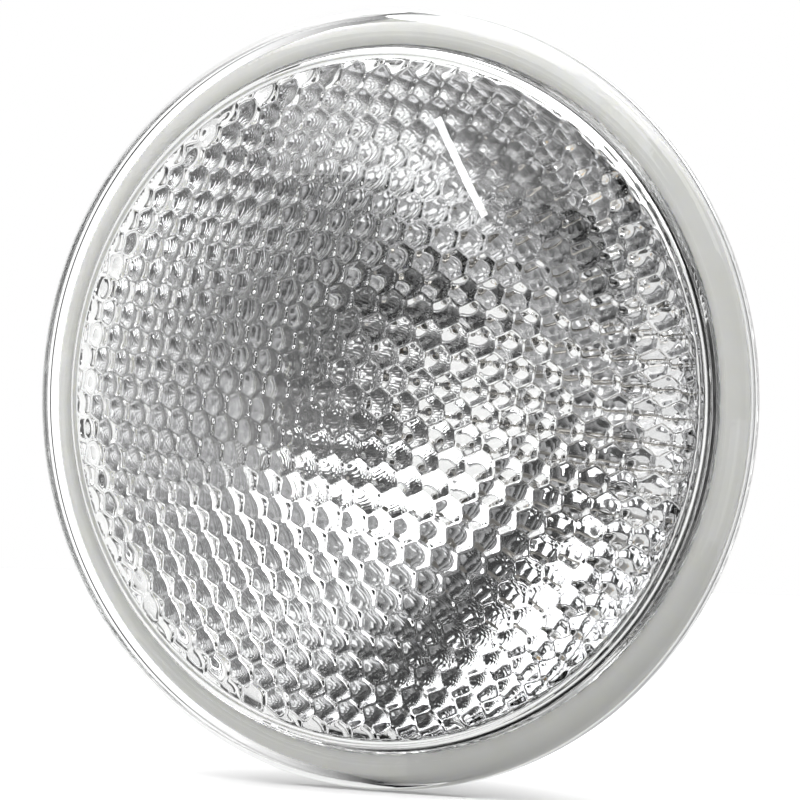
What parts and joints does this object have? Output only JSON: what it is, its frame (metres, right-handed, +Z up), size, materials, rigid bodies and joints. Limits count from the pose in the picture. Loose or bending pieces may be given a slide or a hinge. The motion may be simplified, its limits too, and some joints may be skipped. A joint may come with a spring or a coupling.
{
  "type": "underwater pool light",
  "caption": "Round sealed-beam pool lamp: hexagonal-celled glass lens fused to a mirrored glass bowl, with a filament inside and screw terminals behind.",
  "frame": {"origin": "centre of the rim, on the seam plane between the lens flange and the bowl flange", "axes": "+Y along the lamp's axis from the lens towards the terminals, so the lens faces -Y; +Z up; the two terminals lie on the X axis"},
  "size_m": [0.178, 0.1143, 0.178],
  "materials": {
    "lens_glass": "clear pressed borosilicate glass, fire-polished outside",
    "bowl_glass": "clear pressed borosilicate glass",
    "rim_seal": "milky off-white fused seal",
    "mirror_film": "evaporated aluminium, bright inside",
    "tungsten": "drawn wire, dull grey",
    "nickel": "plain nickel wire and stampings",
    "braze": "flowed gold-coloured braze",
    "ferrule_alloy": "drawn alloy cup, heat-tinted at the glass",
    "solder": "bright rounded solder",
    "lug_plate": "nickel-plated sheet brass",
    "washer_steel": "zinc-plated spring steel",
    "screw_brass": "turned brass, lightly tarnished"
  },
  "bodies": {
    "lamp": {"lens": "lens_glass", "reflector_bowl": "bowl_glass", "mirror_coating": "mirror_film", "rim_seal": "rim_seal", "exhaust_tip": "bowl_glass", "filament": "tungsten", "filament_clamp_left": "nickel", "filament_clamp_right": "nickel", "lead_wire_left": "nickel", "lead_wire_right": "nickel", "lead_braze_left": "braze", "lead_braze_right": "braze", "ferrule_left": "ferrule_alloy", "ferrule_right": "ferrule_alloy", "terminal_lug_left": "lug_plate", "terminal_lug_right": "lug_plate", "lug_solder_left": "solder", "lug_solder_right": "solder"},
    "clamp_left": {"clamp_plate_left": "screw_brass", "lock_washer_left": "washer_steel"},
    "clamp_right": {"clamp_plate_right": "screw_brass", "lock_washer_right": "washer_steel"},
    "screw_left": {"terminal_screw_left": "screw_brass"},
    "screw_right": {"terminal_screw_right": "screw_brass"}
  },
  "joints": [
    {"name": "clamp_lift_left", "type": "slide", "parent": "lamp", "child": "clamp_left", "axis": [0, 1, 0], "range_m": [0, 0.00397]},
    {"name": "screw_turn_left", "type": "hinge", "parent": "clamp_left", "child": "screw_left", "pos_m": [-0.026, 0.0888, 0], "axis": [0, 1, 0], "range_deg": [0, 1800]},
    {"name": "clamp_lift_right", "type": "slide", "parent": "lamp", "child": "clamp_right", "axis": [0, 1, 0], "range_m": [0, 0.00397]},
    {"name": "screw_turn_right", "type": "hinge", "parent": "clamp_right", "child": "screw_right", "pos_m": [0.026, 0.0888, 0], "axis": [0, 1, 0], "range_deg": [0, 1800]}
  ],
  "couplings": [
    {"joint": "screw_turn_left", "follows": "clamp_lift_left", "rad_per_m": 7915.8},
    {"joint": "screw_turn_right", "follows": "clamp_lift_right", "rad_per_m": 7915.8}
  ]
}
